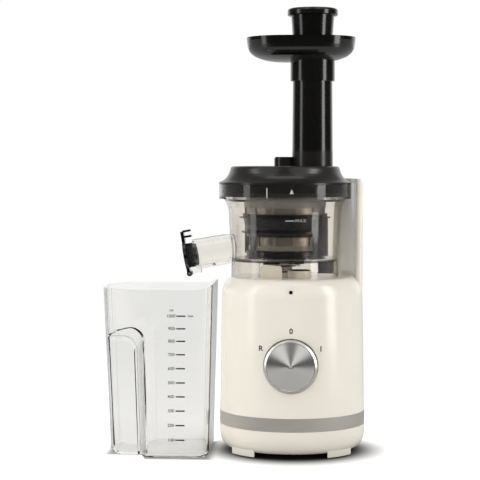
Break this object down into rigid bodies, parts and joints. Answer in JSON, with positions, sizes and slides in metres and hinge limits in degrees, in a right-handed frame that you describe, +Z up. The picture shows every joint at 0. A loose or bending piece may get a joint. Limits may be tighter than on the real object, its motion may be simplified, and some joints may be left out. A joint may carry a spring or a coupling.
{
  "type": "cold press juicer",
  "caption": "Slow masticating juicer with a round motor base, clear juice bowl with strainer and auger, feed tube with tray and pusher, and a measuring jug under the spout.",
  "frame": {"origin": "on the table, under the middle of juicer and jug together; the round motor base stands 55.3 mm from it towards +X", "axes": "+Z up, -Y towards the user and the knob, -X towards the juice spout and the jug"},
  "size_m": [0.2516, 0.149, 0.427],
  "materials": {
    "cream": "satin moulded cream plastic",
    "black": "polished black plastic",
    "navy": "dark blue-grey plastic",
    "clear": "clear copolyester",
    "white_nylon": "moulded white nylon or acetal",
    "brushed": "brushed along the ring",
    "steel": "turned or pressed steel",
    "mesh_steel": "perforated stainless sheet",
    "laminations": "stacked sheet",
    "copper": "enamelled copper wire",
    "bronze": "sintered bronze",
    "grey_resin": "glass-filled nylon",
    "dark_plastic": "moulded dark plastic",
    "board": "green circuit board",
    "wire": "insulated wire",
    "rubber": "moulded rubber",
    "silicone": "translucent grey silicone"
  },
  "bodies": {
    "base": {"motor_housing": "cream", "tower_shell": "cream", "crown_posts": "cream", "tower_cover": "cream", "base_cover": "cream", "trim_band": "brushed", "rubber_feet": "rubber", "cover_screws": "steel", "alignment_dot": "black", "bowl_buffer": "rubber", "shaft_seal": "rubber", "cord_gland": "rubber", "control_switch": "dark_plastic", "switch_nut": "steel", "circuit_board": "board", "run_capacitor": "dark_plastic", "wiring_harness": "wire", "reed_switch": "board", "motor_case": "steel", "motor_end_cap": "steel", "stator_core": "laminations", "stator_windings": "copper", "motor_bearings": "steel", "motor_screws": "steel", "gearbox_case": "grey_resin", "gearbox_cover": "grey_resin", "gearbox_screws": "steel", "idler_axle": "steel", "output_bearings": "bronze"},
    "knob": {"speed_knob": "brushed", "knob_core": "dark_plastic", "switch_spindle": "steel"},
    "rotor": {"rotor_core": "laminations", "motor_shaft": "steel", "motor_pinion": "steel", "cooling_fan": "dark_plastic"},
    "idler": {"idler_gear": "steel"},
    "output": {"output_gear": "white_nylon", "drive_shaft": "steel"},
    "bowl": {"juice_bowl": "clear", "bowl_seal": "silicone", "strainer_frame": "navy", "strainer_mesh": "mesh_steel", "pulp_flap": "rubber", "cap_hinge_pin": "steel"},
    "auger_screw": {"auger": "navy", "auger_gear": "white_nylon"},
    "wiper_brush": {"brush_frame": "navy", "wiper_blades": "silicone"},
    "left_pinion_wheel": {"left_pinion": "white_nylon"},
    "right_pinion_wheel": {"right_pinion": "white_nylon"},
    "spout_cap": {"juice_cap": "black", "cap_plug": "rubber"},
    "seal_ring": {"lid_seal": "silicone"},
    "lid_part": {"lid": "black", "lid_magnet": "steel"},
    "tray": {"feed_tray": "black"},
    "pusher_part": {"pusher": "black", "pusher_cap": "black"},
    "jug": {"juice_jug": "clear"}
  },
  "joints": [
    {"name": "knob_turn", "type": "hinge", "parent": "base", "child": "knob", "pos_m": [0.05532, 0, 0.089], "axis": [0, -1, 0], "range_deg": [-58.5, 58.5]},
    {"name": "motor_spin", "type": "hinge", "parent": "base", "child": "rotor", "pos_m": [0.06034, 0.01549, 0.06], "axis": [0, 0, 1], "continuous": true},
    {"name": "idler_spin", "type": "hinge", "parent": "base", "child": "idler", "pos_m": [0.08947, 0, 0.12], "axis": [0, 0, 1], "continuous": true},
    {"name": "output_spin", "type": "hinge", "parent": "base", "child": "output", "pos_m": [0.04822, 0, 0.13], "axis": [0, 0, 1], "continuous": true},
    {"name": "bowl_lift", "type": "slide", "parent": "base", "child": "bowl", "axis": [0, 0, 1], "range_m": [0, 0.15]},
    {"name": "auger_spin", "type": "hinge", "parent": "bowl", "child": "auger_screw", "pos_m": [0.04822, 0, 0.22], "axis": [0, 0, 1], "continuous": true},
    {"name": "brush_spin", "type": "hinge", "parent": "bowl", "child": "wiper_brush", "pos_m": [0.04822, 0, 0.21], "axis": [0, 0, 1], "continuous": true},
    {"name": "left_pinion_spin", "type": "hinge", "parent": "bowl", "child": "left_pinion_wheel", "pos_m": [0.02622, 0, 0.19], "axis": [0, 0, 1], "continuous": true},
    {"name": "right_pinion_spin", "type": "hinge", "parent": "bowl", "child": "right_pinion_wheel", "pos_m": [0.07022, 0, 0.19], "axis": [0, 0, 1], "continuous": true},
    {"name": "cap_swing", "type": "hinge", "parent": "bowl", "child": "spout_cap", "pos_m": [-0.04415, 0, 0.17123], "axis": [0, -1, 0], "range_deg": [0, 105]},
    {"name": "lid_lift", "type": "slide", "parent": "bowl", "child": "seal_ring", "axis": [0, 0, 1], "range_m": [0, 0.12]},
    {"name": "lid_turn", "type": "hinge", "parent": "seal_ring", "child": "lid_part", "pos_m": [0.04822, 0, 0.26], "axis": [0, 0, 1], "range_deg": [0, 21]},
    {"name": "tray_lift", "type": "slide", "parent": "lid_part", "child": "tray", "axis": [0, 0, 1], "range_m": [0, 0.06]},
    {"name": "pusher_lift", "type": "slide", "parent": "tray", "child": "pusher_part", "axis": [0, 0, 1], "range_m": [0, 0.12]},
    {"name": "jug_pull", "type": "slide", "parent": "base", "child": "jug", "axis": [-1, 0, 0], "range_m": [0, 0.15]}
  ],
  "couplings": [
    {"joint": "idler_spin", "follows": "motor_spin", "ratio": -0.22222},
    {"joint": "output_spin", "follows": "motor_spin", "ratio": 0.049383},
    {"joint": "auger_spin", "follows": "motor_spin", "ratio": 0.049383},
    {"joint": "brush_spin", "follows": "motor_spin", "ratio": -0.018519},
    {"joint": "left_pinion_spin", "follows": "motor_spin", "ratio": -0.059259},
    {"joint": "right_pinion_spin", "follows": "motor_spin", "ratio": -0.059259}
  ]
}
